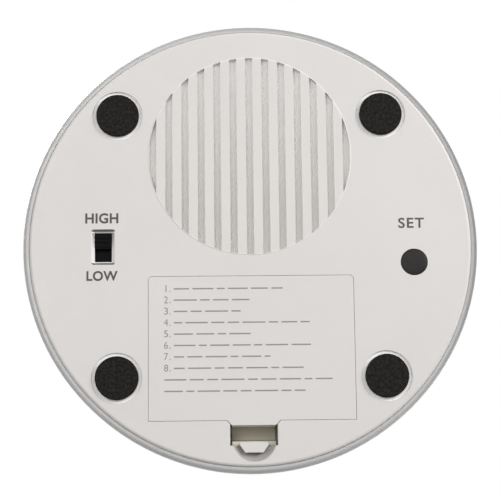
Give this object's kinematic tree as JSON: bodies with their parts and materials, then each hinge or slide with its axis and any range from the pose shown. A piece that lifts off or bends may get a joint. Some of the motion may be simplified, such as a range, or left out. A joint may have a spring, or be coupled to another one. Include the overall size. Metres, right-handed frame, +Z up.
{
  "type": "talking clock",
  "caption": "Round talking clock with a press dome on top; grille, set key, volume slider, hinged battery door and rubber pads in its bottom cover.",
  "frame": {"origin": "centre of the clock on the plane that its foot pads rest on", "axes": "+Z up, -Y towards the speaker grille, +X towards the set key"},
  "size_m": [0.114, 0.114, 0.0439],
  "materials": {
    "cover_plastic": "satin off-white ABS with a fine moulded grain",
    "silver_plastic": "satin silver-grey moulded plastic",
    "dome_plastic": "satin black moulded plastic",
    "key_plastic": "satin charcoal plastic",
    "pad_rubber": "fine-textured black rubber",
    "screen_cloth": "pale grey acoustic screen",
    "black_paper": "pressed paper",
    "ferrite": "sintered dark grey",
    "plated_steel": "zinc-plated sheet",
    "screw_steel": "zinc-plated",
    "nickel_plate": "nickel-plated spring steel",
    "phenolic_board": "paper phenolic laminate",
    "green_board": "solder-masked laminate",
    "black_epoxy": "moulded epoxy",
    "capacitor_sleeve": "shrunk sleeve",
    "cell_sleeve": "plain blue shrunk sleeve, bare steel ends"
  },
  "bodies": {
    "case": {"bottom_cover": "cover_plastic", "foot_pads": "pad_rubber", "volume_switch": "plated_steel", "volume_board": "phenolic_board", "grille_screen": "screen_cloth", "speaker_gasket": "black_paper", "speaker_frame": "plated_steel", "speaker_cone": "black_paper", "speaker_magnet": "ferrite", "speaker_screws": "screw_steel", "battery_cells": "cell_sleeve", "contact_plates": "nickel_plate", "battery_springs": "nickel_plate", "main_board": "green_board", "voice_chip": "black_epoxy", "crystal_can": "plated_steel", "capacitor": "capacitor_sleeve", "set_switch": "black_epoxy", "board_screws": "screw_steel", "case_screws": "screw_steel", "upper_housing": "silver_plastic", "top_board": "phenolic_board", "top_switch": "black_epoxy", "button_springs": "nickel_plate"},
    "dome": {"top_button": "dome_plastic", "button_screws": "screw_steel", "button_washers": "screw_steel"},
    "door": {"battery_door": "cover_plastic"},
    "set_key": {"set_button": "key_plastic"},
    "volume_slider": {"volume_knob": "key_plastic", "volume_lever": "key_plastic"}
  },
  "joints": [
    {"name": "dome_press", "type": "slide", "parent": "case", "child": "dome", "axis": [0, 0, -1], "range_m": [0, 0.0016], "stiffness_N_per_m": 900, "springref_m": -0.002, "deforming": ["button_springs"]},
    {"name": "door_hinge", "type": "hinge", "parent": "case", "child": "door", "pos_m": [0, 0.008, 0.0008], "axis": [-1, 0, 0], "range_deg": [0, 60]},
    {"name": "set_press", "type": "slide", "parent": "case", "child": "set_key", "axis": [0, 0, 1], "range_m": [0, 0.0008], "stiffness_N_per_m": 400, "springref_m": -0.001},
    {"name": "volume_slide", "type": "slide", "parent": "case", "child": "volume_slider", "axis": [0, 1, 0], "range_m": [0, 0.0032]}
  ]
}
